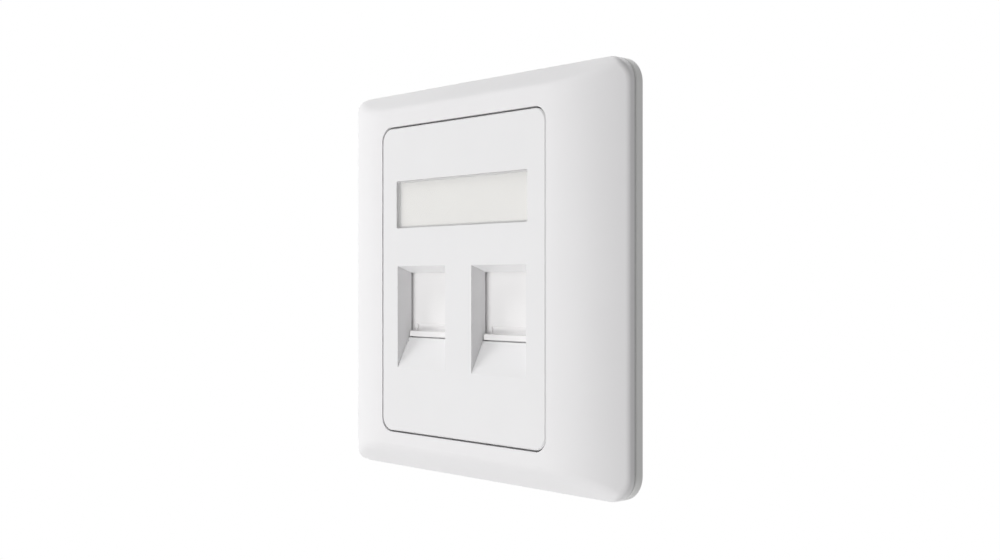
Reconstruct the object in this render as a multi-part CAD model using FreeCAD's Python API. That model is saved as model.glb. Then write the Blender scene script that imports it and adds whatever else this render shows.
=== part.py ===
import FreeCAD, Part
import math
import os

# Two-port keystone faceplate for a square 86 mm wall box.
# +Z is up and the front looks along -Y. The wall plane is y = 0, and the origin is midway
# between the two wall screws. Everything is in millimetres.

# ---- whole plate ------------------------------------------------------------------------
PLATE_SIZE = 86.0
PLATE_CORNER = 5.2
PLATE_DEPTH = 9.7            # wall plane to front face
RIM_DEPTH = 2.25             # thickness of the base frame's plate
SHADOW_GAP = 0.4             # groove between the base rim and the bezel's back edge
SCREW_PITCH = 60.3           # wall box screws, side by side

# ---- bezel ------------------------------------------------------------------------------
BEZEL_WALL = 1.6
SIDE_CROWN = 28.5            # radius of the long curve across each side margin
TOP_FLAT = 2.9               # flat strip above and below the panel before the slope starts
TOP_CROWN = 3.0              # radius between that strip and the slope
MITRE_ROUND = 3.0            # softening of the four corner mitres
EDGE_ROUND = 1.4             # front outer edge
FLANGE_WALL = 1.2            # wall round the bezel's window
FLANGE_END = 4.2             # the flange ends this far in front of the wall plane

# ---- centre panel -----------------------------------------------------------------------
PANEL_WIDTH = 52.1
PANEL_HEIGHT = 68.0
PANEL_CORNER = 3.0
PANEL_SIDE_GAP = 0.2         # left and right, to the bezel's window
PANEL_END_GAP = 0.35         # above and below
PANEL_FACE = 2.0             # thickness of the face
PANEL_SKIRT = 1.6            # thickness of the side walls
PANEL_EDGE = 0.25            # front edge bevel

# ---- label ------------------------------------------------------------------------------
LABEL_WIDTH = 42.0
LABEL_LOW = 11.47
LABEL_HIGH = 22.04
LABEL_CORNER = 0.4
LABEL_RECESS = 0.4           # front face down to the clear cover
LABEL_FLOOR = 1.2            # front face down to the pocket's floor
POCKET_BACK = 2.6            # front face to the back of the pocket
POCKET_WALL = 1.2
COVER_END_GAP = 0.45
COVER_SIDE_GAP = 0.15
CARD_THICKNESS = 0.25
CARD_MARGIN = 0.3            # clear cover's rim round the card
CARD_PLAY = 0.05             # space over the card
CARD_SIDE_PLAY = 0.1

# ---- ports ------------------------------------------------------------------------------
PORT_SPACING = 24.8
PORT_WIDTH = 16.4
PORT_TOP_FRONT = 3.0         # upper edge of the recess on the front face
PORT_TOP_BACK = 1.55         # upper edge of the recess at its back
PORT_BOTTOM = -13.05         # ledge under the shutter
RAMP_FOOT = -19.8            # the ramp meets the front face here
RAMP_DEPTH = 3.2             # depth of the ramp's top edge
COLLAR_DEPTH = 4.0           # depth of the recess walls
COLLAR_WALL = 1.2
RAMP_WALL = 1.52             # thickness behind the ramp, measured along the depth

# ---- shutters ---------------------------------------------------------------------------
SHUTTER_WIDTH = 18.2
SHUTTER_TOP = 2.6
SHUTTER_BOTTOM = -12.8
SHUTTER_FRONT = 4.5          # depth of the shutter's face
SHUTTER_THICKNESS = 1.1
SHUTTER_TRAVEL = 13.0
LIP_WIDTH = 16.0
LIP_HEIGHT = 1.3
LIP_FRONT = 3.2              # depth of the lip's front
LIP_EDGE = 0.25
GROOVE_WIDTH = 13.4
GROOVE_RADIUS = 1.1
GROOVE_LIFT = 0.8            # middle of the groove's curve above the lip
GROOVE_DEPTH = 0.45
RAIL_CLEARANCE = 0.2
RAIL_WALL = 1.0
RAIL_SPARE = 2.0             # rail beyond each end of the shutter's way
GLIDE_HEIGHT = 0.4
GLIDE_WIDTH = 0.4
STOP_HEIGHT = 1.1            # bar that the closed shutter rests over
STOP_PLAY = 0.05

# ---- shutter springs --------------------------------------------------------------------
SPRING_DIAMETER = 1.9
SPRING_WIRE = 0.22
WIRE_SIDES = 4
SPRING_TURNS = 9
SPRING_SIDES = 8             # straight runs in one turn
SPRING_TOP = 28.0
SPRING_SEAT = 1.4            # thickness of the block above the spring
SPRING_PEG = 0.6             # radius of the peg inside the spring's upper end
SHUTTER_PEG = 0.48           # radius of the peg inside its lower end
SPRING_PEG_LENGTH = 2.0

# ---- keystone holders -------------------------------------------------------------------
HOLDER_FRONT = 5.75          # depth of the holder's front plane
HOLDER_GAP = 0.1             # holder to the rails and the spring's seat
HOLDER_PLATE = 1.6
HOLDER_WIDTH = 20.4
HOLDER_LOW = -27.2
HOLDER_HIGH = 30.0
HOLDER_CORNER = 1.5
KEY_WIDTH = 15.0             # standard keystone opening
KEY_HEIGHT = 16.5
KEY_MIDDLE = -6.85
KEY_DEPTH = 9.9              # holder's front plane to the back of the catches
KEY_WALL = 1.4
KEY_CORNER = 0.6             # bevel of the frame's four long edges
KEY_LATCH_START = 4.0        # the latch side widens this far behind the front plane
KEY_LATCH_ROOM = 4.0
KEY_HEEL_START = 6.5         # the fixed side widens this far behind the front plane
KEY_HEEL_ROOM = 2.0
KEY_CATCH = 2.0              # thickness of the rear catches
KEY_CATCH_REACH = 2.0
GUSSET = 3.2
SPRING_CHANNEL = 0.5        # depth of the spring's channel in the holder
SPRING_CHANNEL_WIDTH = 2.6
SPRING_CHANNEL_SPARE = 0.4   # channel beyond each end of the spring

# ---- holder screws ----------------------------------------------------------------------
BOSS_RADIUS = 2.3
PILOT_RADIUS = 1.05
PILOT_START = 2.3            # depth of the pilot hole's blind end
SCREW_RADIUS = 1.0
SCREW_LENGTH = 4.6
SCREW_HOLE = 1.25
HEAD_RADIUS = 2.0
HEAD_HEIGHT = 1.3
DRIVE_LENGTH = 2.2
DRIVE_WIDTH = 0.5
DRIVE_DEPTH = 0.7
LOWER_SCREW = -24.5
UPPER_SCREW = 26.3
UPPER_SCREW_OFFSET = 6.4     # towards the plate's side edge

# ---- base frame -------------------------------------------------------------------------
OPENING_WIDTH = 49.2
OPENING_HEIGHT = 62.0
OPENING_CORNER = 2.0
SLOT_RADIUS = 2.1
SLOT_LENGTH = 7.0
UPSTAND_GAP = 0.4            # bezel's inner wall to the upstand
UPSTAND_WALL = 1.2
UPSTAND_HEIGHT = 1.0
STIFFENER_HEIGHT = 1.8
STIFFENER_WALL = 1.2
STIFFENER_X = 28.6
STIFFENER_Z = 36.3
STIFFENER_BREAK = 6.5        # left clear round each wall screw's head
RELIEF_DEPTH = 0.5
RELIEF_MARGIN = 3.5
RELIEF_ISLAND = 3.0          # full thickness kept round the opening and slots
HOOK_ISLAND = 1.5            # full thickness kept round the hook windows
RIM_EDGE = 0.3

# ---- clip hooks -------------------------------------------------------------------------
HOOK_WIDTH = 7.0
HOOK_THICKNESS = 1.2
HOOK_BARB = 0.6
HOOK_END = 0.3               # the hooks stop this far in front of the wall plane
HOOK_LEDGE = 0.8             # thickness of the ledge that a hook holds
HOOK_PLAY = 0.1              # barb to ledge
HOOK_ROOM = 0.35
BEZEL_HOOK_X = 20.0
BEZEL_HOOK_Z = 38.0
PANEL_HOOK_X = 12.0
PANEL_HOOK_INSET = 0.4       # hook's outer side in from the panel's edge
PANEL_HOOK_ROOT = 1.0        # how far the hook runs up into the panel's wall
PRY_WIDTH = 9.0
PRY_HEIGHT = 0.7

# ---- ribs -------------------------------------------------------------------------------
RIB_WALL = 1.0
BEZEL_RIBS = (-27.0, -12.0, 12.0, 27.0)
FRAME_RIBS = (-33.0, -20.0, 20.0, 33.0)

FRONT = -PLATE_DEPTH
HALF = PLATE_SIZE / 2
BEZEL_BACK = -(RIM_DEPTH + SHADOW_GAP)
UPSTAND_INSIDE = HALF - BEZEL_WALL - UPSTAND_GAP - UPSTAND_WALL
LABEL_MIDDLE = (LABEL_LOW + LABEL_HIGH) / 2
SHUTTER_MIDDLE = SHUTTER_FRONT + SHUTTER_THICKNESS / 2
SIDES = (-1, 1)
MERGE = 0.1                  # overlap between forms that are fused
BEYOND = 1.0                 # how far a cutting form runs past the piece
TINY = 0.001


def vector(x, y, z):
    return FreeCAD.Vector(x, y, z)


def at_depth(depth):
    """Y of a plane that lies this far behind the front face."""
    return FRONT + depth


def block(x_low, x_high, y_low, y_high, z_low, z_high):
    size = (x_high - x_low, y_high - y_low, z_high - z_low)
    return Part.makeBox(*size, vector(x_low, y_low, z_low))


def middled_block(width, height, y_low, y_high, x_middle=0.0, z_middle=0.0):
    """Block given by its width and height round a middle point."""
    half_width, half_height = width / 2, height / 2
    return block(x_middle - half_width, x_middle + half_width, y_low, y_high,
                 z_middle - half_height, z_middle + half_height)


def edges_along_y(solid):
    return [edge for edge in solid.Edges if edge.BoundBox.YLength > edge.BoundBox.DiagonalLength / 2]


def rounded_block(width, height, corner, y_low, y_high, x_middle=0.0, z_middle=0.0):
    """The same with its four corners rounded, seen from the front."""
    solid = middled_block(width, height, y_low, y_high, x_middle, z_middle)
    return solid.makeFillet(corner, edges_along_y(solid))


def round_pin(radius, x, z, y_low, y_high):
    return Part.makeCylinder(radius, y_high - y_low, vector(x, y_low, z), vector(0, 1, 0))


def run_along_x(points, x_low, x_high):
    """Polygon of (y, z) points run along X."""
    corners = [vector(x_low, y, z) for y, z in points]
    face = Part.Face(Part.makePolygon(corners + corners[:1]))
    return face.extrude(vector(x_high - x_low, 0, 0))


def fused(solids):
    whole = solids[0]
    for solid in solids[1:]:
        whole = whole.fuse(solid)
    return whole.removeSplitter()


def without(solid, tools):
    for tool in tools:
        solid = solid.cut(tool)
    return solid.removeSplitter()


def mirrored_x(solid):
    return solid.mirror(vector(0, 0, 0), vector(1, 0, 0))


def mirrored_z(solid):
    return solid.mirror(vector(0, 0, 0), vector(0, 0, 1))


def all_four(solid):
    """The solid and its reflections left to right and top to bottom."""
    pair = [solid, mirrored_x(solid)]
    return pair + [mirrored_z(one) for one in pair]


# ---- crowned form of the bezel ----------------------------------------------------------
def side_drop():
    """How far the side margin's curve has fallen at the plate's edge."""
    reach = HALF - PANEL_WIDTH / 2
    return SIDE_CROWN - math.sqrt(SIDE_CROWN ** 2 - reach ** 2)


def top_slope():
    """Slope of the top margin that brings its edge level with the side margin's edge."""
    run = HALF - PANEL_HEIGHT / 2 - TOP_FLAT
    rise = side_drop() - TOP_CROWN
    return math.atan2(rise, run) + math.asin(TOP_CROWN / math.hypot(run, rise))


def crown_section(flat_half, radius, slope, inset):
    """Section across the bezel: flat middle, an arc each side, a slope, and the side walls."""
    arc_radius = radius - inset
    edge = HALF - inset
    reach = min(1.0, (edge - flat_half) / arc_radius)
    turn = min(slope, math.asin(reach))
    level = FRONT + radius

    def on_arc(angle):
        return flat_half + arc_radius * math.sin(angle), level - arc_radius * math.cos(angle)

    arc_x, arc_y = on_arc(turn)
    edge_y = arc_y + (edge - arc_x) * math.tan(turn)
    lines = [Part.LineSegment(vector(-flat_half, FRONT + inset, 0), vector(flat_half, FRONT + inset, 0)),
             Part.LineSegment(vector(-edge, BEZEL_BACK, 0), vector(edge, BEZEL_BACK, 0))]
    for side in SIDES:
        start = vector(side * flat_half, FRONT + inset, 0)
        middle = vector(side * on_arc(turn / 2)[0], on_arc(turn / 2)[1], 0)
        end = vector(side * arc_x, arc_y, 0)
        shoulder = vector(side * edge, edge_y, 0)
        foot = vector(side * edge, BEZEL_BACK, 0)
        lines.append(Part.Arc(start, middle, end))
        if edge - arc_x > TINY:
            lines.append(Part.LineSegment(end, shoulder))
        lines.append(Part.LineSegment(shoulder, foot))
    edges = Part.__sortEdges__([line.toShape() for line in lines])
    return Part.Face(Part.Wire(edges))


def crowned_form(inset):
    """Both margins' sections run through each other, which mitres them at the corners."""
    across = crown_section(PANEL_WIDTH / 2, SIDE_CROWN, math.pi / 2, inset)
    across = across.extrude(vector(0, 0, PLATE_SIZE))
    across.translate(vector(0, 0, -HALF))
    upright = crown_section(PANEL_HEIGHT / 2 + TOP_FLAT, TOP_CROWN, top_slope(), inset)
    upright = upright.extrude(vector(0, 0, PLATE_SIZE))
    upright.translate(vector(0, 0, -HALF))
    upright.rotate(vector(0, 0, 0), vector(0, 1, 0), 90)
    return across.common(upright).removeSplitter()


def is_upright(edge):
    box = edge.BoundBox
    return box.YLength > TINY and box.XLength < TINY and box.ZLength < TINY


def is_mitre(edge):
    """The four mitres are the only edges that run along all three axes at once."""
    box = edge.BoundBox
    return min(box.XLength, box.YLength, box.ZLength) > BEYOND


def is_front_edge(edge):
    """Edges of the front perimeter, which run round the plate at the top of its side walls."""
    box = edge.BoundBox
    middle = edge.valueAt((edge.FirstParameter + edge.LastParameter) / 2)
    inward = HALF - max(abs(middle.x), abs(middle.z))
    near_outline = inward < PLATE_CORNER / 3
    nearly_level = box.YLength < PLATE_CORNER / 2
    return near_outline and nearly_level and box.YMax < BEZEL_BACK - SHADOW_GAP


def softened_form():
    """The outside of the bezel, with its mitres, corners and front edge rounded in that order."""
    form = crowned_form(0.0)
    form = form.makeFillet(MITRE_ROUND, [edge for edge in form.Edges if is_mitre(edge)])
    form = form.makeFillet(PLATE_CORNER, [edge for edge in form.Edges if is_upright(edge)])
    return form.makeFillet(EDGE_ROUND, [edge for edge in form.Edges if is_front_edge(edge)])


def hollow_form():
    """The inside of the bezel, one wall thickness in, with rounded corners."""
    inside = PLATE_SIZE - 2 * BEZEL_WALL
    corners = rounded_block(inside, inside, PLATE_CORNER - BEZEL_WALL, FRONT, BEZEL_BACK)
    return crowned_form(BEZEL_WALL).common(corners)


def bezel_hook(roof):
    """One clip hook of the top margin, from under the roof down into the base frame."""
    low, high = BEZEL_HOOK_Z - HOOK_THICKNESS / 2, BEZEL_HOOK_Z + HOOK_THICKNESS / 2
    x_low, x_high = BEZEL_HOOK_X - HOOK_WIDTH / 2, BEZEL_HOOK_X + HOOK_WIDTH / 2
    stem = block(x_low, x_high, FRONT, -HOOK_END, low, high).common(roof)
    tail = block(x_low, x_high, BEZEL_BACK, -HOOK_END, low, high)
    catch = HOOK_PLAY - (RIM_DEPTH - HOOK_LEDGE)
    barb = run_along_x([(catch, high), (catch, high + HOOK_BARB), (-HOOK_END, high)], x_low, x_high)
    return fused([stem, tail, barb])


def bezel_ribs(roof):
    """Thin ribs under the side margins. Their feet stand on the base frame."""
    flange = PANEL_WIDTH / 2 + PANEL_SIDE_GAP + FLANGE_WALL
    stiffener = STIFFENER_X + STIFFENER_WALL
    upstand_clear = UPSTAND_INSIDE - UPSTAND_GAP
    upstand_top = -(RIM_DEPTH + UPSTAND_HEIGHT + UPSTAND_GAP)
    ribs = []
    for z in BEZEL_RIBS:
        low, high = z - RIB_WALL / 2, z + RIB_WALL / 2
        web = block(flange - MERGE, HALF - BEZEL_WALL, FRONT, BEZEL_BACK, low, high).common(roof)
        foot = block(stiffener, upstand_clear, BEZEL_BACK, -RIM_DEPTH, low, high)
        clear = block(flange - BEYOND, stiffener, -FLANGE_END, BEZEL_BACK, low - BEYOND, high + BEYOND)
        tray = block(upstand_clear, HALF, upstand_top, BEZEL_BACK, low - BEYOND, high + BEYOND)
        rib = without(fused([web, foot]), [clear, tray])
        ribs += [rib, mirrored_x(rib)]
    return ribs


def make_bezel():
    outside = softened_form()
    window_width = PANEL_WIDTH + 2 * PANEL_SIDE_GAP
    window_height = PANEL_HEIGHT + 2 * PANEL_END_GAP
    window_corner = PANEL_CORNER + PANEL_SIDE_GAP
    flange = rounded_block(window_width + 2 * FLANGE_WALL, window_height + 2 * FLANGE_WALL,
                           window_corner + FLANGE_WALL, FRONT, -FLANGE_END)
    window = rounded_block(window_width, window_height, window_corner, FRONT - BEYOND, 0.0)
    shell = outside.cut(hollow_form().cut(flange))
    pieces = [shell] + bezel_ribs(outside)
    pieces += all_four(bezel_hook(outside))
    pry_notch = block(-PRY_WIDTH / 2, PRY_WIDTH / 2, BEZEL_BACK - PRY_HEIGHT, BEZEL_BACK + BEYOND,
                      -HALF - BEYOND, -HALF + BEZEL_WALL)
    return without(fused(pieces), [window, pry_notch])


# ---- base frame -------------------------------------------------------------------------
def wall_slot(side, extra, y_low, y_high):
    """Slot for one wall screw, or the same outline made larger by extra all round."""
    middle = side * SCREW_PITCH / 2
    radius = SLOT_RADIUS + extra
    straight = SLOT_LENGTH / 2 - SLOT_RADIUS
    ends = [round_pin(radius, middle + end * straight, 0.0, y_low, y_high) for end in SIDES]
    return fused(ends + [block(middle - straight, middle + straight, y_low, y_high, -radius, radius)])


def bezel_hook_window(extra, y_low, y_high):
    half_width = HOOK_WIDTH / 2 + HOOK_ROOM + extra
    half_height = HOOK_THICKNESS / 2 + HOOK_ROOM + extra
    return block(BEZEL_HOOK_X - half_width, BEZEL_HOOK_X + half_width, y_low, y_high,
                 BEZEL_HOOK_Z - half_height, BEZEL_HOOK_Z + half_height)


def panel_hook_window():
    """Way for one panel hook, with a ledge towards the opening and room behind it for the barb."""
    outer = PANEL_HEIGHT / 2 - PANEL_HOOK_INSET
    low, high = outer - HOOK_THICKNESS - HOOK_ROOM, outer + HOOK_ROOM
    x_low = PANEL_HOOK_X - HOOK_WIDTH / 2 - HOOK_ROOM
    x_high = PANEL_HOOK_X + HOOK_WIDTH / 2 + HOOK_ROOM
    way = block(x_low, x_high, -RIM_DEPTH - BEYOND, BEYOND, low, high)
    barb_room = block(x_low, x_high, HOOK_LEDGE - RIM_DEPTH, BEYOND, OPENING_HEIGHT / 2 - BEYOND, high)
    return fused([way, barb_room])


def back_relief():
    """Shallow pocket in the frame's back, which leaves a border and islands at full thickness."""
    outer = PLATE_SIZE - 2 * RELIEF_MARGIN
    pocket = middled_block(outer, outer, -RELIEF_DEPTH, BEYOND)
    islands = [middled_block(OPENING_WIDTH + 2 * RELIEF_ISLAND, OPENING_HEIGHT + 2 * RELIEF_ISLAND,
                             -RIM_DEPTH, 2 * BEYOND)]
    islands += [wall_slot(side, RELIEF_ISLAND, -RIM_DEPTH, 2 * BEYOND) for side in SIDES]
    islands += all_four(bezel_hook_window(HOOK_ISLAND, -RIM_DEPTH, 2 * BEYOND))
    return pocket.cut(fused(islands))


def frame_stiffeners():
    """Ring of ribs round the panel, broken at the wall screws, with spokes out to the upstand."""
    top = -(RIM_DEPTH + STIFFENER_HEIGHT)
    outer_x, outer_z = STIFFENER_X + STIFFENER_WALL, STIFFENER_Z + STIFFENER_WALL
    ring = block(-outer_x, outer_x, top, -RIM_DEPTH, -outer_z, outer_z)
    hollow = block(-STIFFENER_X, STIFFENER_X, top - BEYOND, 0.0, -STIFFENER_Z, STIFFENER_Z)
    screw_room = block(-HALF, HALF, top - BEYOND, 0.0, -STIFFENER_BREAK, STIFFENER_BREAK)
    hook_room = all_four(bezel_hook_window(0.0, top - BEYOND, 0.0))
    ring = without(ring, [hollow, screw_room] + hook_room)
    spokes = []
    for z in FRAME_RIBS:
        spoke = block(outer_x - MERGE, UPSTAND_INSIDE + MERGE, -(RIM_DEPTH + UPSTAND_HEIGHT), -RIM_DEPTH,
                      z - RIB_WALL / 2, z + RIB_WALL / 2)
        spokes += [spoke, mirrored_x(spoke)]
    return [ring] + spokes


def upstand():
    """Low wall that stands just inside the bezel's edge and centres it."""
    outer = PLATE_SIZE - 2 * (BEZEL_WALL + UPSTAND_GAP)
    corner = PLATE_CORNER - BEZEL_WALL - UPSTAND_GAP
    wall = rounded_block(outer, outer, corner, -(RIM_DEPTH + UPSTAND_HEIGHT), -RIM_DEPTH)
    return wall.cut(rounded_block(2 * UPSTAND_INSIDE, 2 * UPSTAND_INSIDE, corner - UPSTAND_WALL, FRONT, 0.0))


def make_base_frame():
    plate = rounded_block(PLATE_SIZE, PLATE_SIZE, PLATE_CORNER, -RIM_DEPTH, 0.0)
    rim_edges = [edge for edge in plate.Edges if edge.BoundBox.YLength < TINY]
    plate = plate.makeChamfer(RIM_EDGE, rim_edges)
    cuts = [rounded_block(OPENING_WIDTH, OPENING_HEIGHT, OPENING_CORNER, FRONT, BEYOND), back_relief()]
    cuts += [wall_slot(side, 0.0, -RIM_DEPTH - BEYOND, BEYOND) for side in SIDES]
    cuts += all_four(bezel_hook_window(0.0, -RIM_DEPTH - BEYOND, BEYOND))
    barb_room = bezel_hook_window(0.0, HOOK_LEDGE - RIM_DEPTH, BEYOND)
    barb_room.translate(vector(0, 0, HOOK_BARB))
    cuts += all_four(barb_room)
    cuts += all_four(panel_hook_window())
    return without(fused([plate, upstand()] + frame_stiffeners()), cuts)


# ---- front panel ------------------------------------------------------------------------
def port_collar(x):
    """Walls round one port recess, with the sloping wall under the ramp."""
    ramp_rise = (PORT_BOTTOM - RAMP_FOOT) / RAMP_DEPTH
    face = PANEL_FACE - MERGE
    face_end = RAMP_FOOT + (face - RAMP_WALL) * ramp_rise
    back_end = RAMP_FOOT + (COLLAR_DEPTH - RAMP_WALL) * ramp_rise
    top = PORT_TOP_FRONT + COLLAR_WALL
    outline = [(at_depth(face), top), (at_depth(COLLAR_DEPTH), top),
               (at_depth(COLLAR_DEPTH), back_end), (at_depth(face), face_end)]
    half = PORT_WIDTH / 2 + COLLAR_WALL
    return run_along_x(outline, x - half, x + half)


def port_recess(x):
    """Space of one recess: sloping roof, through opening, ledge and finger ramp."""
    roof_fall = (PORT_TOP_FRONT - PORT_TOP_BACK) / COLLAR_DEPTH
    outline = [(at_depth(-BEYOND), PORT_TOP_FRONT + BEYOND * roof_fall),
               (at_depth(SHUTTER_FRONT), PORT_TOP_FRONT - SHUTTER_FRONT * roof_fall),
               (at_depth(SHUTTER_FRONT), PORT_BOTTOM), (at_depth(RAMP_DEPTH), PORT_BOTTOM),
               (at_depth(0.0), RAMP_FOOT), (at_depth(-BEYOND), RAMP_FOOT)]
    return run_along_x(outline, x - PORT_WIDTH / 2, x + PORT_WIDTH / 2)


def shutter_guides(x):
    """Rails beside the shutter, glide ribs in front of it and the stop under it."""
    rail_inside = SHUTTER_WIDTH / 2 + RAIL_CLEARANCE
    glide_outside = SHUTTER_WIDTH / 2
    rail_top = SHUTTER_TOP + SHUTTER_TRAVEL + RAIL_SPARE
    guides = []
    for side in SIDES:
        edges = sorted((x + side * rail_inside, x + side * (rail_inside + RAIL_WALL)))
        guides.append(block(*edges, at_depth(PANEL_FACE - MERGE), at_depth(HOLDER_FRONT - HOLDER_GAP),
                            PORT_BOTTOM - RAIL_SPARE, rail_top))
        edges = sorted((x + side * (glide_outside - GLIDE_WIDTH), x + side * glide_outside))
        guides.append(block(*edges, at_depth(COLLAR_DEPTH - MERGE), at_depth(COLLAR_DEPTH + GLIDE_HEIGHT),
                            PORT_BOTTOM, PORT_TOP_FRONT))
    stop_top = SHUTTER_BOTTOM - STOP_PLAY
    guides.append(block(x - PORT_WIDTH / 2, x + PORT_WIDTH / 2, at_depth(COLLAR_DEPTH - MERGE),
                        at_depth(HOLDER_FRONT - HOLDER_GAP), stop_top - STOP_HEIGHT, stop_top))
    return guides


def spring_seat(x):
    """Block above the spring, with the peg that holds the spring's upper end."""
    seat = block(x - SPRING_DIAMETER, x + SPRING_DIAMETER, at_depth(PANEL_FACE - MERGE),
                 at_depth(HOLDER_FRONT - HOLDER_GAP), SPRING_TOP, SPRING_TOP + SPRING_SEAT)
    peg = Part.makeCylinder(SPRING_PEG, SPRING_PEG_LENGTH + MERGE,
                            vector(x, at_depth(SHUTTER_MIDDLE), SPRING_TOP - SPRING_PEG_LENGTH))
    return [seat, peg]


def screw_places(x):
    """The two screws of one holder as (x, z)."""
    outward = math.copysign(UPPER_SCREW_OFFSET, x)
    return [(x, LOWER_SCREW), (x + outward, UPPER_SCREW)]


def panel_hook():
    """One clip hook under the panel's top wall. It holds the edge of the base frame."""
    high = PANEL_HEIGHT / 2 - PANEL_HOOK_INSET
    low = high - HOOK_THICKNESS
    x_low, x_high = PANEL_HOOK_X - HOOK_WIDTH / 2, PANEL_HOOK_X + HOOK_WIDTH / 2
    catch = HOOK_PLAY - (RIM_DEPTH - HOOK_LEDGE)
    stem = block(x_low, x_high, -RIM_DEPTH - PANEL_HOOK_ROOT, -HOOK_END, low, high)
    barb = run_along_x([(catch, low), (catch, low - HOOK_BARB), (-HOOK_END, low)], x_low, x_high)
    return fused([stem, barb])


def label_pocket():
    """Thicker wall behind the label, so that its floor is as strong as the face."""
    half_width = LABEL_WIDTH / 2 + POCKET_WALL
    return block(-half_width, half_width, at_depth(PANEL_FACE - MERGE), at_depth(POCKET_BACK),
                 LABEL_LOW - POCKET_WALL, LABEL_HIGH + POCKET_WALL)


def centre_rib():
    """Upright rib between the two ports, from the lower wall up to the label's pocket."""
    return block(-RIB_WALL / 2, RIB_WALL / 2, at_depth(PANEL_FACE - MERGE), at_depth(HOLDER_FRONT),
                 -PANEL_HEIGHT / 2 + PANEL_SKIRT - MERGE, LABEL_LOW)


def make_front_panel():
    body = rounded_block(PANEL_WIDTH, PANEL_HEIGHT, PANEL_CORNER, FRONT, -RIM_DEPTH)
    front_edges = [edge for edge in body.Edges if edge.BoundBox.YMax < FRONT + TINY]
    body = body.makeChamfer(PANEL_EDGE, front_edges)
    hollow = rounded_block(PANEL_WIDTH - 2 * PANEL_SKIRT, PANEL_HEIGHT - 2 * PANEL_SKIRT,
                           PANEL_CORNER - PANEL_SKIRT, at_depth(PANEL_FACE), BEYOND)
    pieces = [body.cut(hollow), label_pocket(), centre_rib()]
    pieces += all_four(panel_hook())
    cuts = [rounded_block(LABEL_WIDTH, LABEL_HIGH - LABEL_LOW, LABEL_CORNER, FRONT - BEYOND,
                          at_depth(LABEL_FLOOR), 0.0, LABEL_MIDDLE)]
    for side in SIDES:
        x = side * PORT_SPACING / 2
        pieces.append(port_collar(x))
        pieces += shutter_guides(x)
        pieces += spring_seat(x)
        cuts.append(port_recess(x))
        for screw_x, screw_z in screw_places(x):
            pieces.append(round_pin(BOSS_RADIUS, screw_x, screw_z, at_depth(PANEL_FACE - MERGE),
                                    at_depth(HOLDER_FRONT)))
            cuts.append(round_pin(PILOT_RADIUS, screw_x, screw_z, at_depth(PILOT_START),
                                  at_depth(HOLDER_FRONT + BEYOND)))
    return without(fused(pieces), cuts)


# ---- label ------------------------------------------------------------------------------
def card_size():
    width = LABEL_WIDTH - 2 * (COVER_END_GAP + CARD_MARGIN)
    height = LABEL_HIGH - LABEL_LOW - 2 * (COVER_SIDE_GAP + CARD_MARGIN)
    return width, height


def make_label_window():
    """Clear cover. Its rim stands on the pocket's floor and its underside takes the card."""
    width = LABEL_WIDTH - 2 * COVER_END_GAP
    height = LABEL_HIGH - LABEL_LOW - 2 * COVER_SIDE_GAP
    cover = middled_block(width, height, at_depth(LABEL_RECESS), at_depth(LABEL_FLOOR), 0.0, LABEL_MIDDLE)
    card_width, card_height = card_size()
    room = middled_block(card_width + 2 * CARD_SIDE_PLAY, card_height + 2 * CARD_SIDE_PLAY,
                         at_depth(LABEL_FLOOR - CARD_THICKNESS - CARD_PLAY), at_depth(LABEL_FLOOR + BEYOND),
                         0.0, LABEL_MIDDLE)
    return cover.cut(room)


def make_label_card():
    width, height = card_size()
    return middled_block(width, height, at_depth(LABEL_FLOOR - CARD_THICKNESS), at_depth(LABEL_FLOOR),
                         0.0, LABEL_MIDDLE)


# ---- shutters and springs ---------------------------------------------------------------
def finger_groove(x, lip_top):
    """Round-bottomed hollow above the lip, as far as the lip's upper side."""
    front = at_depth(SHUTTER_FRONT)
    middle = vector(x - GROOVE_WIDTH / 2, front - GROOVE_RADIUS + GROOVE_DEPTH, lip_top + GROOVE_LIFT)
    groove = Part.makeCylinder(GROOVE_RADIUS, GROOVE_WIDTH, middle, vector(1, 0, 0))
    below_lip_top = block(x - SHUTTER_WIDTH, x + SHUTTER_WIDTH, FRONT, 0.0, -HALF, lip_top)
    return groove.cut(below_lip_top)


def make_shutter(side):
    """Sliding door with a finger lip along its bottom and a finger groove above the lip."""
    x = side * PORT_SPACING / 2
    front, back = at_depth(SHUTTER_FRONT), at_depth(SHUTTER_FRONT + SHUTTER_THICKNESS)
    plate = block(x - SHUTTER_WIDTH / 2, x + SHUTTER_WIDTH / 2, front, back, SHUTTER_BOTTOM, SHUTTER_TOP)
    lip_top = SHUTTER_BOTTOM + LIP_HEIGHT
    lip = block(x - LIP_WIDTH / 2, x + LIP_WIDTH / 2, at_depth(LIP_FRONT), front + MERGE,
                SHUTTER_BOTTOM, lip_top)
    lip_edges = [edge for edge in lip.Edges if edge.BoundBox.YMax < at_depth(LIP_FRONT) + TINY]
    lip = lip.makeFillet(LIP_EDGE, lip_edges)
    peg = Part.makeCylinder(SHUTTER_PEG, SPRING_PEG_LENGTH + MERGE,
                            vector(x, at_depth(SHUTTER_MIDDLE), SHUTTER_TOP - MERGE))
    return without(fused([plate, lip, peg]), [finger_groove(x, lip_top)])


def wire_section(start, along):
    """Outline of the spring's wire round its first point, square to the first run."""
    upward = along.cross(vector(1, 0, 0)).normalize()
    outward = upward.cross(along)
    corners = []
    for corner in range(WIRE_SIDES + 1):
        angle = 2 * math.pi * corner / WIRE_SIDES
        offset = outward * math.cos(angle) + upward * math.sin(angle)
        corners.append(start + offset * (SPRING_WIRE / 2))
    return Part.makePolygon(corners)


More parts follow.
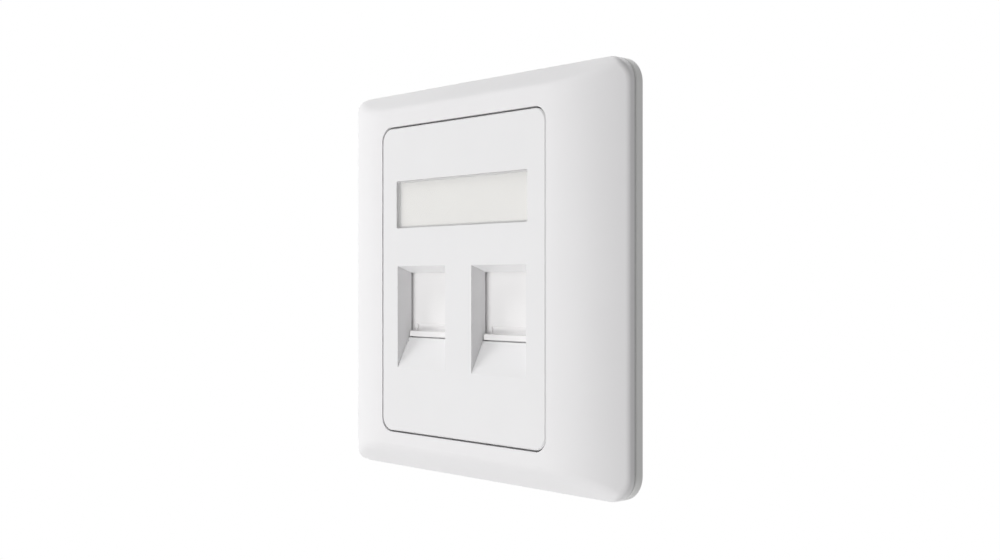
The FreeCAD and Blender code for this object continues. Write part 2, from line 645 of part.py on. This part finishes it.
def make_spring(side):
    """Compression spring between the shutter's top edge and its seat on the panel.

    The coil is a chain of short straight runs of wire, joined at their mitres.
    """
    x = side * PORT_SPACING / 2
    y = at_depth(SHUTTER_MIDDLE)
    coil_radius = (SPRING_DIAMETER - SPRING_WIRE) / 2
    low = SHUTTER_TOP + SPRING_WIRE
    steps = SPRING_TURNS * SPRING_SIDES
    rise = (SPRING_TOP - SPRING_WIRE - low) / steps
    points = []
    for step in range(steps + 1):
        angle = 2 * math.pi * step / SPRING_SIDES
        points.append(vector(x + coil_radius * math.cos(angle), y + coil_radius * math.sin(angle),
                             low + step * rise))
    section = wire_section(points[0], (points[1] - points[0]).normalize())
    return Part.makePolygon(points).makePipeShell([section], True, False, 1)


# ---- keystone holders -------------------------------------------------------------------
def keystone_space(x):
    """What a keystone jack needs: front opening, latch room above, heel room below, rear mouth."""
    y_front = at_depth(HOLDER_FRONT)
    low, high = KEY_MIDDLE - KEY_HEIGHT / 2, KEY_MIDDLE + KEY_HEIGHT / 2
    heel_low, latch_high = low - KEY_HEEL_ROOM, high + KEY_LATCH_ROOM
    catch_front = KEY_DEPTH - KEY_CATCH
    mouth = KEY_DEPTH + BEYOND
    outline = [(-BEYOND, low), (KEY_HEEL_START, low), (KEY_HEEL_START, heel_low),
               (catch_front, heel_low), (catch_front, low), (mouth, low),
               (mouth, latch_high - KEY_CATCH_REACH), (catch_front, latch_high - KEY_CATCH_REACH),
               (catch_front, latch_high), (KEY_LATCH_START, latch_high),
               (KEY_LATCH_START, high), (-BEYOND, high)]
    points = [(y_front + depth, z) for depth, z in outline]
    return run_along_x(points, x - KEY_WIDTH / 2, x + KEY_WIDTH / 2)


def holder_gussets(x, high):
    """Two small braces between the holder's plate and the top of the jack's frame."""
    back = at_depth(HOLDER_FRONT) + HOLDER_PLATE - MERGE
    root = high - MERGE
    slope = [(back, root), (back + GUSSET, root), (back, root + GUSSET)]
    gussets = []
    for edge in SIDES:
        outer = x + edge * (KEY_WIDTH / 2 + KEY_WALL)
        inner = outer - edge * RIB_WALL
        gussets.append(run_along_x(slope, min(outer, inner), max(outer, inner)))
    return gussets


def spring_channel(x):
    """Groove in the holder's front that the shutter's spring lies in."""
    return block(x - SPRING_CHANNEL_WIDTH / 2, x + SPRING_CHANNEL_WIDTH / 2, at_depth(SHUTTER_MIDDLE),
                 at_depth(HOLDER_FRONT + SPRING_CHANNEL), SHUTTER_TOP - SPRING_CHANNEL_SPARE,
                 SPRING_TOP + SPRING_CHANNEL_SPARE)


def make_keystone_holder(side):
    x = side * PORT_SPACING / 2
    y_front = at_depth(HOLDER_FRONT)
    plate = rounded_block(HOLDER_WIDTH, HOLDER_HIGH - HOLDER_LOW, HOLDER_CORNER, y_front,
                          y_front + HOLDER_PLATE, x, (HOLDER_HIGH + HOLDER_LOW) / 2)
    low = KEY_MIDDLE - KEY_HEIGHT / 2 - KEY_HEEL_ROOM - KEY_WALL
    high = KEY_MIDDLE + KEY_HEIGHT / 2 + KEY_LATCH_ROOM + KEY_WALL
    frame = middled_block(KEY_WIDTH + 2 * KEY_WALL, high - low, y_front, y_front + KEY_DEPTH,
                          x, (high + low) / 2)
    frame = frame.makeChamfer(KEY_CORNER, edges_along_y(frame))
    cuts = [keystone_space(x), spring_channel(x)]
    cuts += [round_pin(SCREW_HOLE, screw_x, screw_z, y_front - BEYOND, y_front + HOLDER_PLATE + BEYOND)
             for screw_x, screw_z in screw_places(x)]
    return without(fused([plate, frame] + holder_gussets(x, high)), cuts)


def make_holder_screw(x, z):
    """Thread-forming screw with a flat cylindrical head and a cross recess, driven from behind."""
    seat = at_depth(HOLDER_FRONT) + HOLDER_PLATE
    shaft = round_pin(SCREW_RADIUS, x, z, seat - SCREW_LENGTH, seat + MERGE)
    head = round_pin(HEAD_RADIUS, x, z, seat, seat + HEAD_HEIGHT)
    half_length, half_width = DRIVE_LENGTH / 2, DRIVE_WIDTH / 2
    floor, above = seat + HEAD_HEIGHT - DRIVE_DEPTH, seat + HEAD_HEIGHT + BEYOND
    drive = [block(x - half_length, x + half_length, floor, above, z - half_width, z + half_width),
             block(x - half_width, x + half_width, floor, above, z - half_length, z + half_length)]
    return without(fused([shaft, head]), drive)


def make_holder_screws():
    screws = []
    for side in SIDES:
        screws += [make_holder_screw(x, z) for x, z in screw_places(side * PORT_SPACING / 2)]
    return Part.makeCompound(screws)


# ---- all pieces -------------------------------------------------------------------------
def make_pieces():
    pieces = {
        "bezel": make_bezel(),
        "base_frame": make_base_frame(),
        "front_panel": make_front_panel(),
        "label_window": make_label_window(),
        "label_card": make_label_card(),
        "holder_screws": make_holder_screws(),
    }
    for name, side in (("left", -1), ("right", 1)):
        pieces["shutter_" + name] = make_shutter(side)
        pieces["shutter_spring_" + name] = make_spring(side)
        pieces["keystone_holder_" + name] = make_keystone_holder(side)
    return pieces


os.makedirs("parts", exist_ok=True)
for node, solid in make_pieces().items():
    solid.exportStep(os.path.join("parts", node + ".step"))
    box = solid.BoundBox
    print(f"{node:24s} valid {solid.isValid()} solids {len(solid.Solids)} faces {len(solid.Faces)}"
          f" volume {solid.Volume:9.1f} y {box.YMin:6.2f} {box.YMax:6.2f}")
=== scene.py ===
import math

import bmesh
import bpy
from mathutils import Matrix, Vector


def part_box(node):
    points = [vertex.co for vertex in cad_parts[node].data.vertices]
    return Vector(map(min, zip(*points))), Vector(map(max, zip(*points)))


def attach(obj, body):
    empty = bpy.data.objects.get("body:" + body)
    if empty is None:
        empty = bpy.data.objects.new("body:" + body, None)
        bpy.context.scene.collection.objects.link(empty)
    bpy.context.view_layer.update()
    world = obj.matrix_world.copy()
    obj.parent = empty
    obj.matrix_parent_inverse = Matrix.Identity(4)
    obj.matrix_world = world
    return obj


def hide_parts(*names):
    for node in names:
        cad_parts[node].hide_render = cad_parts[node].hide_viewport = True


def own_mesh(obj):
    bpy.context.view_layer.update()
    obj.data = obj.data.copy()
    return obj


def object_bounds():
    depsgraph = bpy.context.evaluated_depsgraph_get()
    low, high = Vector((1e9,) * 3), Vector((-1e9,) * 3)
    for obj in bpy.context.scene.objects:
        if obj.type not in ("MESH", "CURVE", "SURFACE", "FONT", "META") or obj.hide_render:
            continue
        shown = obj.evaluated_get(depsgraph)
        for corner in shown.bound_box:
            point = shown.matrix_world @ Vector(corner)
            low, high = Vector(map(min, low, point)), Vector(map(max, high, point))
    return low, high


# Looks, light and camera for the two-port keystone faceplate. Lengths are in metres, +Z is up,
# and the front looks along -Y. The CAD pieces keep their shapes and get materials. Only the
# shutter springs are made anew, in round wire.

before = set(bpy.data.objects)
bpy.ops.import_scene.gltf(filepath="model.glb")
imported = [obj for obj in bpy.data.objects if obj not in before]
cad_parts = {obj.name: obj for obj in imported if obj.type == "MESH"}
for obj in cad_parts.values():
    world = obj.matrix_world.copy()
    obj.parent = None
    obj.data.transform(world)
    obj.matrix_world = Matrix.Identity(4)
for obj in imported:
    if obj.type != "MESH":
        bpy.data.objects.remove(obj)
cad_low, cad_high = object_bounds()

# ---- camera -----------------------------------------------------------------------------
VIEW_AZIMUTH = math.radians(46.86)     # 0 looks square at the front, +X side comes nearer
CAMERA_AHEAD = 0.2582                  # camera to the middle of the front face, along the view
CAMERA_ASIDE = 0.0089                  # the middle of the face lies this far left of the view's axis
CAMERA_HEIGHT = -0.0006
FOCAL_LENGTH = 43.80                   # this and the sensor's width are in millimetres
SENSOR_WIDTH = 36.0
LENS_SHIFT = 0.0022
NEAREST_SEEN = 0.01

# ---- light ------------------------------------------------------------------------------
AMBIENT = 0.275
SOFTBOX_SIZE = 0.3
SOFTBOX_DISTANCE = 0.9
SOFTBOXES = (                          # name, watts, azimuth and elevation in degrees
    ("front", 2.2, -9.0, 0.0),
    ("low", 2.1, 0.0, -30.0),
    ("upper_left", 3.15, -60.0, 45.0),
    ("right", 0.35, 100.0, 0.0),
    ("back", 4.6, 190.0, 30.0),
)
WHITE = (1.0, 1.0, 1.0, 1.0)
FLOOR_PALE = (0.88, 0.88, 0.88, 1.0)
FLOOR_DROP = 0.65                      # floor below the plate's lower edge
FLOOR_SIZE = 6.0
FLOOR_FADE_START = 0.12                # from here outwards the floor fades to the white surround
FLOOR_FADE_END = 0.24

# ---- finishes ---------------------------------------------------------------------------
BEZEL_WHITE = (0.880, 0.872, 0.880)
PANEL_WHITE = (0.870, 0.866, 0.872)
SHUTTER_WHITE = (0.912, 0.902, 0.902)
FRAME_WHITE = (0.90, 0.90, 0.89)
CARD_WHITE = (0.89, 0.88, 0.865)
COVER_CLEAR = (0.97, 0.97, 0.95)
SPRING_GREY = (0.55, 0.55, 0.56)
ZINC_GREY = (0.66, 0.66, 0.67)
MOULDING_IOR = 1.46
COVER_IOR = 1.49
COVER_DENSITY = 0.16                   # share of the clear cover that isn't seen through
GLOSS_SPREAD = 0.05                    # a moulding's roughness varies this much each way
STEEL_SMOOTHER = 0.08                  # a metal's roughness varies from this much below
STEEL_ROUGHER = 0.12                   # to this much above its own
TINT_DARKEST = 0.35                    # a colour is at its darkest where the noise is below this
TINT_LIGHTEST = 0.65                   # and at its full value where the noise is above this
NOISE_LOW = 0.3                        # gloss follows the noise from here
NOISE_HIGH = 0.7                       # to here
# painted shade in narrow joints: the colour is darkened where another surface is close by
SEAM_REACH = 0.001                     # surfaces nearer than this to another count as a joint
SEAM_SHADE = 0.7                       # share of the colour lost deep in a joint
SEAM_DEEP = 0.2                        # a joint is darkest where this share of its surroundings is open
SEAM_OPEN = 0.8                        # and has its full colour from this share up

# ---- spring sizes -----------------------------------------------------------------------
WIRE = 0.00022
ACTIVE_TURNS = 9
CLOSED_TURNS = 1.5                     # wound close at each end
STEPS_PER_TURN = 28
WIRE_SIDES = 8


# ---- node helpers -----------------------------------------------------------------------
def add_node(tree, kind, **settings):
    node = tree.nodes.new(kind)
    for name, value in settings.items():
        setattr(node, name, value)
    return node


def set_inputs(node, values):
    for name, value in values.items():
        node.inputs[name].default_value = value


def new_material(name):
    """Empty material with its output node."""
    material = bpy.data.materials.new(name)
    material.use_nodes = True
    tree = material.node_tree
    tree.nodes.clear()
    return material, tree, add_node(tree, "ShaderNodeOutputMaterial")


def new_surface(name):
    """Material with one Principled shader."""
    material, tree, output = new_material(name)
    shader = add_node(tree, "ShaderNodeBsdfPrincipled")
    tree.links.new(shader.outputs["BSDF"], output.inputs["Surface"])
    return material, tree, shader


def object_noise(tree, scale, detail=2.0, roughness=0.5):
    """Noise that sticks to the object, because it follows the object's own coordinates."""
    place = add_node(tree, "ShaderNodeTexCoord")
    noise = add_node(tree, "ShaderNodeTexNoise")
    set_inputs(noise, {"Scale": scale, "Detail": detail, "Roughness": roughness})
    tree.links.new(place.outputs["Object"], noise.inputs["Vector"])
    return noise.outputs["Fac"]


def remapped(tree, source, from_range, to_range):
    node = add_node(tree, "ShaderNodeMapRange")
    set_inputs(node, {"From Min": from_range[0], "From Max": from_range[1]})
    set_inputs(node, {"To Min": to_range[0], "To Max": to_range[1]})
    tree.links.new(source, node.inputs["Value"])
    return node.outputs["Result"]


def uneven_gloss(tree, shader, noise, smoothest, roughest):
    roughness = remapped(tree, noise, (NOISE_LOW, NOISE_HIGH), (smoothest, roughest))
    tree.links.new(roughness, shader.inputs["Roughness"])


def bumped(tree, height, strength, distance, normal=None):
    bump = add_node(tree, "ShaderNodeBump")
    set_inputs(bump, {"Strength": strength, "Distance": distance})
    tree.links.new(height, bump.inputs["Height"])
    if normal is not None:
        tree.links.new(normal, bump.inputs["Normal"])
    return bump.outputs["Normal"]


def tinted(tree, color, spread, scale):
    """Base colour with a slow, faint variation, as a moulding's flow gives it."""
    ramp = add_node(tree, "ShaderNodeValToRGB")
    darker, lighter = ramp.color_ramp.elements
    darker.position = TINT_DARKEST
    lighter.position = TINT_LIGHTEST
    darker.color = tuple(channel * (1 - spread) for channel in color) + (1.0,)
    lighter.color = color + (1.0,)
    tree.links.new(object_noise(tree, scale, detail=3.0), ramp.inputs["Fac"])
    return ramp.outputs["Color"]


def painted_seam_shade(tree, color):
    """Painted shade: colour held back where another surface is close by, as shade falls in a narrow joint."""
    near = add_node(tree, "ShaderNodeAmbientOcclusion", samples=8)
    set_inputs(near, {"Distance": SEAM_REACH})
    level = remapped(tree, near.outputs["AO"], (SEAM_DEEP, SEAM_OPEN), (1.0 - SEAM_SHADE, 1.0))
    darker = add_node(tree, "ShaderNodeVectorMath", operation="SCALE")
    tree.links.new(color, darker.inputs[0])
    tree.links.new(level, darker.inputs["Scale"])
    return darker.outputs["Vector"]


# ---- materials --------------------------------------------------------------------------
def moulded_plastic(name, color, roughness, grain, painted_joint_shade=False):
    """White moulded plastic: fine tool grain, faint flow waves and uneven gloss.

    With joint shade on, its colour is darker in its joints: painted shade.
    """
    material, tree, shader = new_surface(name)
    set_inputs(shader, {"IOR": MOULDING_IOR})
    shade = tinted(tree, color, spread=0.012, scale=70.0)
    # painted shade: the colour darkens in narrow joints
    if painted_joint_shade:
        shade = painted_seam_shade(tree, shade)
    tree.links.new(shade, shader.inputs["Base Color"])
    patches = object_noise(tree, scale=240.0, detail=4.0)
    uneven_gloss(tree, shader, patches, roughness - GLOSS_SPREAD, roughness + GLOSS_SPREAD)
    flow = object_noise(tree, scale=90.0, detail=1.0)
    waves = bumped(tree, flow, strength=0.15, distance=0.00002)
    tool_marks = object_noise(tree, scale=9000.0, detail=3.0, roughness=0.6)
    surface = bumped(tree, tool_marks, grain, distance=0.000004, normal=waves)
    tree.links.new(surface, shader.inputs["Normal"])
    return material


def clear_plastic(name):
    """Clear moulded cover with a faint haze. Straight-through light keeps the card bright."""
    material, tree, shader = new_surface(name)
    set_inputs(shader, {"Base Color": COVER_CLEAR + (1.0,), "IOR": COVER_IOR, "Alpha": COVER_DENSITY})
    haze = object_noise(tree, scale=300.0, detail=3.0)
    uneven_gloss(tree, shader, haze, smoothest=0.12, roughest=0.22)
    flow = object_noise(tree, scale=120.0, detail=1.0)
    waves = bumped(tree, flow, strength=0.2, distance=0.00002)
    tree.links.new(waves, shader.inputs["Normal"])
    return material


def smooth_card(name):
    """Smooth card: warm white with fine, shallow fibres."""
    material, tree, shader = new_surface(name)
    set_inputs(shader, {"Roughness": 0.85, "Specular IOR Level": 0.2})
    tree.links.new(tinted(tree, CARD_WHITE, spread=0.012, scale=500.0), shader.inputs["Base Color"])
    fibres = object_noise(tree, scale=2500.0, detail=5.0, roughness=0.6)
    pressed = bumped(tree, fibres, strength=0.10, distance=0.000004)
    tree.links.new(pressed, shader.inputs["Normal"])
    return material


def steel(name, color, roughness, scale):
    """Bright metal with fine drawing marks and uneven polish."""
    material, tree, shader = new_surface(name)
    set_inputs(shader, {"Metallic": 1.0})
    tree.links.new(tinted(tree, color, spread=0.12, scale=scale), shader.inputs["Base Color"])
    polish = object_noise(tree, scale * 4, detail=4.0)
    uneven_gloss(tree, shader, polish, roughness - STEEL_SMOOTHER, roughness + STEEL_ROUGHER)
    marks = object_noise(tree, scale * 8, detail=3.0)
    drawn = bumped(tree, marks, strength=0.25, distance=0.000005)
    tree.links.new(drawn, shader.inputs["Normal"])
    return material


def dress_node(node, material):
    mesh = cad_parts[node].data
    mesh.materials.clear()
    mesh.materials.append(material)


# ---- springs ----------------------------------------------------------------------------
def coil_height(turn, height):
    """Height of the wire's middle after a number of turns: closed, then open, then closed."""
    closed = CLOSED_TURNS * WIRE
    pitch = (height - WIRE - 2 * closed) / ACTIVE_TURNS
    if turn <= CLOSED_TURNS:
        return WIRE / 2 + turn * WIRE
    if turn <= CLOSED_TURNS + ACTIVE_TURNS:
        return WIRE / 2 + closed + (turn - CLOSED_TURNS) * pitch
    return WIRE / 2 + closed + ACTIVE_TURNS * pitch + (turn - CLOSED_TURNS - ACTIVE_TURNS) * WIRE


def wire_point(step, height, radius):
    turn = step / STEPS_PER_TURN
    angle = 2 * math.pi * turn
    return Vector((radius * math.cos(angle), radius * math.sin(angle), coil_height(turn, height)))


def wire_ring(mesh, middle, ahead):
    """Ring of points round the wire, square to its run."""
    outward = Vector((middle.x, middle.y, 0)).normalized()
    upward = ahead.cross(outward).normalized()
    ring = []
    for side_number in range(WIRE_SIDES):
        angle = 2 * math.pi * side_number / WIRE_SIDES
        from_middle = (outward * math.cos(angle) + upward * math.sin(angle)) * WIRE / 2
        ring.append(mesh.verts.new(middle + from_middle))
    return ring


def join_rings(mesh, ring, next_ring):
    for corner in range(WIRE_SIDES):
        after = (corner + 1) % WIRE_SIDES
        mesh.faces.new((ring[corner], ring[after], next_ring[after], next_ring[corner]))


def coil_mesh(name, low, high):
    """Closed tube of wire wound up through a box, about its upright middle line."""
    height = high.z - low.z
    radius = (high.x - low.x - WIRE) / 2
    steps = round((ACTIVE_TURNS + 2 * CLOSED_TURNS) * STEPS_PER_TURN)
    mesh = bmesh.new()
    rings = []
    for step in range(steps + 1):
        before = wire_point(max(step - 1, 0), height, radius)
        after = wire_point(min(step + 1, steps), height, radius)
        rings.append(wire_ring(mesh, wire_point(step, height, radius), (after - before).normalized()))
    mesh.faces.new(rings[0])
    for ring, next_ring in zip(rings, rings[1:]):
        join_rings(mesh, ring, next_ring)
    mesh.faces.new(reversed(rings[-1]))
    bmesh.ops.recalc_face_normals(mesh, faces=mesh.faces)
    bmesh.ops.translate(mesh, verts=mesh.verts, vec=((low.x + high.x) / 2, (low.y + high.y) / 2, low.z))
    data = bpy.data.meshes.new(name)
    mesh.to_mesh(data)
    mesh.free()
    data.shade_smooth()
    return data


def build_spring(side, material):
    """Round-wire compression spring with closed ends, in the place of the plain one."""
    node = "shutter_spring_" + side
    low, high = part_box(node)
    name = "coil_" + side
    spring = bpy.data.objects.new(name, coil_mesh(name, low, high))
    bpy.context.scene.collection.objects.link(spring)
    spring.data.materials.append(material)
    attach(spring, "plate")
    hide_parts(node)
    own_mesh(spring)


# ---- studio -----------------------------------------------------------------------------
def seen_directly(tree):
    """1 for camera, mirror and see-through rays, 0 for the light that falls on the object."""
    path = add_node(tree, "ShaderNodeLightPath")
    either = add_node(tree, "ShaderNodeMath", operation="MAXIMUM")
    tree.links.new(path.outputs["Is Camera Ray"], either.inputs[0])
    tree.links.new(path.outputs["Is Glossy Ray"], either.inputs[1])
    any_ray = add_node(tree, "ShaderNodeMath", operation="MAXIMUM")
    tree.links.new(either.outputs[0], any_ray.inputs[0])
    tree.links.new(path.outputs["Is Transmission Ray"], any_ray.inputs[1])
    return any_ray.outputs[0]


def mixed_shaders(tree, share, first, second):
    mix = add_node(tree, "ShaderNodeMixShader")
    tree.links.new(share, mix.inputs["Fac"])
    tree.links.new(first, mix.inputs[1])
    tree.links.new(second, mix.inputs[2])
    return mix.outputs["Shader"]


def build_world():
    """Even light all round, seen as white."""
    world = bpy.data.worlds.new("studio")
    bpy.context.scene.world = world
    world.use_nodes = True
    tree = world.node_tree
    tree.nodes.clear()
    ambient = add_node(tree, "ShaderNodeBackground")
    set_inputs(ambient, {"Color": WHITE, "Strength": AMBIENT})
    white = add_node(tree, "ShaderNodeBackground")
    set_inputs(white, {"Color": WHITE, "Strength": 1.0})
    output = add_node(tree, "ShaderNodeOutputWorld")
    mix = mixed_shaders(tree, seen_directly(tree), ambient.outputs["Background"], white.outputs["Background"])
    tree.links.new(mix, output.inputs["Surface"])


def floor_material():
    """Pale floor that takes the shadow near the object and fades to the white surround."""
    material, tree, output = new_material("floor_pale")
    matt = add_node(tree, "ShaderNodeBsdfDiffuse")
    set_inputs(matt, {"Color": FLOOR_PALE})
    white = add_node(tree, "ShaderNodeEmission")
    set_inputs(white, {"Strength": 1.0})
    place = add_node(tree, "ShaderNodeTexCoord")
    length = add_node(tree, "ShaderNodeVectorMath", operation="LENGTH")
    tree.links.new(place.outputs["Object"], length.inputs[0])
    fade = add_node(tree, "ShaderNodeMapRange", interpolation_type="SMOOTHSTEP")
    set_inputs(fade, {"From Min": FLOOR_FADE_START, "From Max": FLOOR_FADE_END})
    tree.links.new(length.outputs["Value"], fade.inputs["Value"])
    both = add_node(tree, "ShaderNodeMath", operation="MULTIPLY")
    tree.links.new(fade.outputs["Result"], both.inputs[0])
    tree.links.new(seen_directly(tree), both.inputs[1])
    mix = mixed_shaders(tree, both.outputs[0], matt.outputs["BSDF"], white.outputs["Emission"])
    tree.links.new(mix, output.inputs["Surface"])
    return material


def build_floor():
    bpy.ops.mesh.primitive_plane_add(size=FLOOR_SIZE, location=(0, 0, cad_low.z - FLOOR_DROP))
    floor = bpy.context.active_object
    floor.name = "studio_floor"
    floor.data.materials.append(floor_material())


def build_softbox(name, power, azimuth, elevation):
    """Square light that looks at the origin. Azimuth 0 is in front, 90 on the +X side."""
    azimuth = math.radians(azimuth)
    elevation = math.radians(elevation)
    light = bpy.data.lights.new(name, "AREA")
    light.shape = "SQUARE"
    light.size = SOFTBOX_SIZE
    light.energy = power
    lamp = bpy.data.objects.new(name, light)
    bpy.context.scene.collection.objects.link(lamp)
    level = SOFTBOX_DISTANCE * math.cos(elevation)
    height = SOFTBOX_DISTANCE * math.sin(elevation)
    lamp.location = (level * math.sin(azimuth), -level * math.cos(azimuth), height)
    lamp.rotation_euler = (-lamp.location).to_track_quat("-Z", "Y").to_euler()
    lamp.visible_camera = False
    lamp.visible_glossy = False


def build_camera():
    data = bpy.data.cameras.new("camera")
    data.lens = FOCAL_LENGTH
    data.sensor_width = SENSOR_WIDTH
    data.shift_y = LENS_SHIFT
    data.clip_start = NEAREST_SEEN
    camera = bpy.data.objects.new("camera", data)
    bpy.context.scene.collection.objects.link(camera)
    along = Vector((-math.sin(VIEW_AZIMUTH), math.cos(VIEW_AZIMUTH), 0.0))
    right = Vector((math.cos(VIEW_AZIMUTH), math.sin(VIEW_AZIMUTH), 0.0))
    face_middle = Vector((0.0, cad_low.y, 0.0))
    camera.location = face_middle - along * CAMERA_AHEAD + right * CAMERA_ASIDE
    camera.location.z = CAMERA_HEIGHT
    camera.rotation_euler = (math.pi / 2, 0.0, VIEW_AZIMUTH)
    bpy.context.scene.camera = camera


# ---- put together -----------------------------------------------------------------------
bezel_white = moulded_plastic("bezel_white", BEZEL_WHITE, roughness=0.34, grain=0.25)
panel_white = moulded_plastic("panel_white", PANEL_WHITE, roughness=0.38, grain=0.3)
shutter_white = moulded_plastic("shutter_white", SHUTTER_WHITE, roughness=0.36, grain=0.3)
# the base frame gets painted shade in its joints
frame_white = moulded_plastic("frame_white", FRAME_WHITE, roughness=0.5, grain=0.5, painted_joint_shade=True)
holder_white = moulded_plastic("holder_white", FRAME_WHITE, roughness=0.5, grain=0.5)
spring_wire = steel("spring_wire", SPRING_GREY, roughness=0.25, scale=900.0)
screw_zinc = steel("screw_zinc", ZINC_GREY, roughness=0.28, scale=700.0)

dress_node("bezel", bezel_white)
dress_node("front_panel", panel_white)
dress_node("base_frame", frame_white)
dress_node("label_window", clear_plastic("label_clear"))
dress_node("label_card", smooth_card("label_paper"))
dress_node("holder_screws", screw_zinc)
for side in ("left", "right"):
    dress_node("shutter_" + side, shutter_white)
    build_spring(side, spring_wire)
    dress_node("keystone_holder_" + side, holder_white)

build_world()
build_floor()
for softbox in SOFTBOXES:
    build_softbox(*softbox)
build_camera()
bpy.context.scene.view_settings.view_transform = "Standard"
